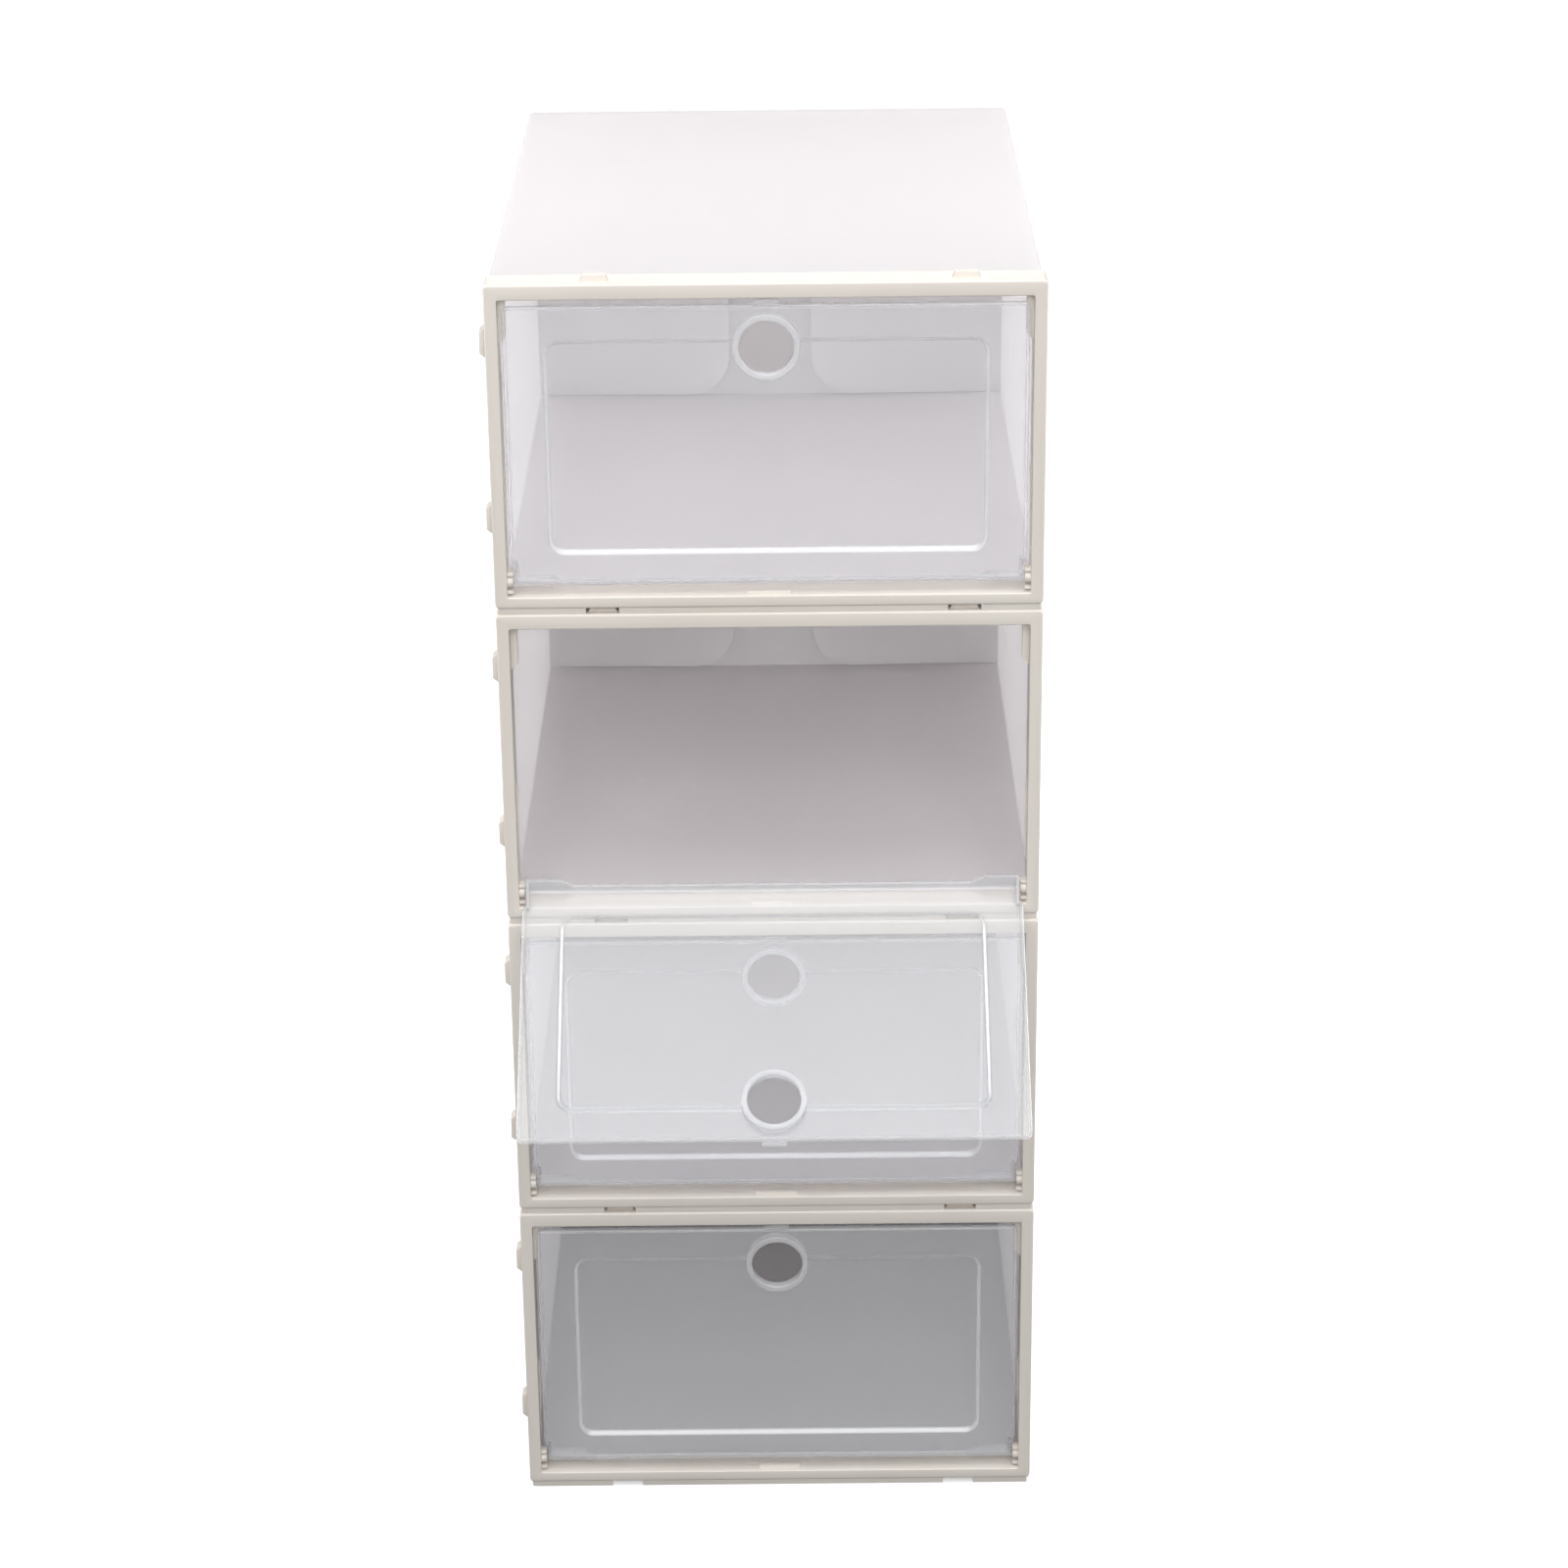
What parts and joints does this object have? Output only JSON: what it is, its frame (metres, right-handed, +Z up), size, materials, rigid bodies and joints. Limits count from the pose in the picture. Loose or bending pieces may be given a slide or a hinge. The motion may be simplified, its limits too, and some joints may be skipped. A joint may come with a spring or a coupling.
{
  "type": "stackable drop-front shoe box set",
  "caption": "Stack of drop-front shoe storage boxes with cream moulded frames, clear hinged doors with finger holes, and translucent folded plastic bodies.",
  "frame": {"origin": "on the floor under the middle of the stack: middle of the frames' width, halfway between their front faces and the back panels", "axes": "+Z up, -Y out of the doors, +X to the right when facing the doors"},
  "size_m": [0.2325, 0.4007, 0.5732],
  "materials": {
    "frame_plastic": "satin moulded polypropylene, cream",
    "door_plastic": "clear polypropylene with a slight haze",
    "body_sheet": "translucent white polypropylene sheet"
  },
  "bodies": {
    "box1": {"box1_front_frame": "frame_plastic", "box1_left_sheet": "body_sheet", "box1_right_sheet": "body_sheet", "box1_top_sheet": "body_sheet", "box1_bottom_sheet": "body_sheet"},
    "box1_door": {"box1_door": "door_plastic"},
    "box1_left_flap": {"box1_left_back_flap": "body_sheet"},
    "box1_right_flap": {"box1_right_back_flap": "body_sheet"},
    "box1_back": {"box1_back_panel": "body_sheet"},
    "box2": {"box2_front_frame": "frame_plastic", "box2_left_sheet": "body_sheet", "box2_right_sheet": "body_sheet", "box2_top_sheet": "body_sheet", "box2_bottom_sheet": "body_sheet"},
    "box2_door": {"box2_door": "door_plastic"},
    "box2_left_flap": {"box2_left_back_flap": "body_sheet"},
    "box2_right_flap": {"box2_right_back_flap": "body_sheet"},
    "box2_back": {"box2_back_panel": "body_sheet"},
    "box3": {"box3_front_frame": "frame_plastic", "box3_left_sheet": "body_sheet", "box3_right_sheet": "body_sheet", "box3_top_sheet": "body_sheet", "box3_bottom_sheet": "body_sheet"},
    "box3_door": {"box3_door": "door_plastic"},
    "box3_left_flap": {"box3_left_back_flap": "body_sheet"},
    "box3_right_flap": {"box3_right_back_flap": "body_sheet"},
    "box3_back": {"box3_back_panel": "body_sheet"},
    "box4": {"box4_front_frame": "frame_plastic", "box4_left_sheet": "body_sheet", "box4_right_sheet": "body_sheet", "box4_top_sheet": "body_sheet", "box4_bottom_sheet": "body_sheet"},
    "box4_door": {"box4_door": "door_plastic"},
    "box4_left_flap": {"box4_left_back_flap": "body_sheet"},
    "box4_right_flap": {"box4_right_back_flap": "body_sheet"},
    "box4_back": {"box4_back_panel": "body_sheet"}
  },
  "joints": [
    {"name": "box1_door_hinge", "type": "hinge", "parent": "box1", "child": "box1_door", "pos_m": [0, -0.151, 0.4416], "axis": [1, 0, 0], "range_deg": [0, 128]},
    {"name": "box1_left_flap_crease", "type": "hinge", "parent": "box1", "child": "box1_left_flap", "pos_m": [-0.1121, 0.1533, 0.4978], "axis": [0, 0, -1], "range_deg": [0, 80]},
    {"name": "box1_right_flap_crease", "type": "hinge", "parent": "box1", "child": "box1_right_flap", "pos_m": [0.1121, 0.1533, 0.4978], "axis": [0, 0, 1], "range_deg": [0, 80]},
    {"name": "box1_back_crease", "type": "hinge", "parent": "box1", "child": "box1_back", "pos_m": [0, 0.1546, 0.4282], "axis": [-1, 0, 0], "range_deg": [0, 145]},
    {"name": "box2_door_hinge", "type": "hinge", "parent": "box2", "child": "box2_door", "pos_m": [0, -0.151, 0.299], "axis": [1, 0, 0], "range_deg": [-128, 0]},
    {"name": "box2_left_flap_crease", "type": "hinge", "parent": "box2", "child": "box2_left_flap", "pos_m": [-0.1121, 0.1533, 0.3552], "axis": [0, 0, -1], "range_deg": [0, 80]},
    {"name": "box2_right_flap_crease", "type": "hinge", "parent": "box2", "child": "box2_right_flap", "pos_m": [0.1121, 0.1533, 0.3552], "axis": [0, 0, 1], "range_deg": [0, 80]},
    {"name": "box2_back_crease", "type": "hinge", "parent": "box2", "child": "box2_back", "pos_m": [0, 0.1546, 0.2856], "axis": [-1, 0, 0], "range_deg": [0, 145]},
    {"name": "box3_door_hinge", "type": "hinge", "parent": "box3", "child": "box3_door", "pos_m": [0, -0.151, 0.1564], "axis": [1, 0, 0], "range_deg": [0, 12]},
    {"name": "box3_left_flap_crease", "type": "hinge", "parent": "box3", "child": "box3_left_flap", "pos_m": [-0.1121, 0.1533, 0.2126], "axis": [0, 0, -1], "range_deg": [0, 80]},
    {"name": "box3_right_flap_crease", "type": "hinge", "parent": "box3", "child": "box3_right_flap", "pos_m": [0.1121, 0.1533, 0.2126], "axis": [0, 0, 1], "range_deg": [0, 80]},
    {"name": "box3_back_crease", "type": "hinge", "parent": "box3", "child": "box3_back", "pos_m": [0, 0.1546, 0.143], "axis": [-1, 0, 0], "range_deg": [0, 145]},
    {"name": "box4_door_hinge", "type": "hinge", "parent": "box4", "child": "box4_door", "pos_m": [0, -0.151, 0.0138], "axis": [1, 0, 0], "range_deg": [0, 95]},
    {"name": "box4_left_flap_crease", "type": "hinge", "parent": "box4", "child": "box4_left_flap", "pos_m": [-0.1121, 0.1533, 0.07], "axis": [0, 0, -1], "range_deg": [0, 80]},
    {"name": "box4_right_flap_crease", "type": "hinge", "parent": "box4", "child": "box4_right_flap", "pos_m": [0.1121, 0.1533, 0.07], "axis": [0, 0, 1], "range_deg": [0, 80]},
    {"name": "box4_back_crease", "type": "hinge", "parent": "box4", "child": "box4_back", "pos_m": [0, 0.1546, 0.0004], "axis": [-1, 0, 0], "range_deg": [0, 89]},
    {"name": "box3_lift", "type": "slide", "parent": "box4", "child": "box3", "axis": [0, 0, 1], "range_m": [0, 0.04]},
    {"name": "box2_lift", "type": "slide", "parent": "box3", "child": "box2", "axis": [0, 0, 1], "range_m": [0, 0.04]},
    {"name": "box1_lift", "type": "slide", "parent": "box2", "child": "box1", "axis": [0, 0, 1], "range_m": [0, 0.04]}
  ]
}
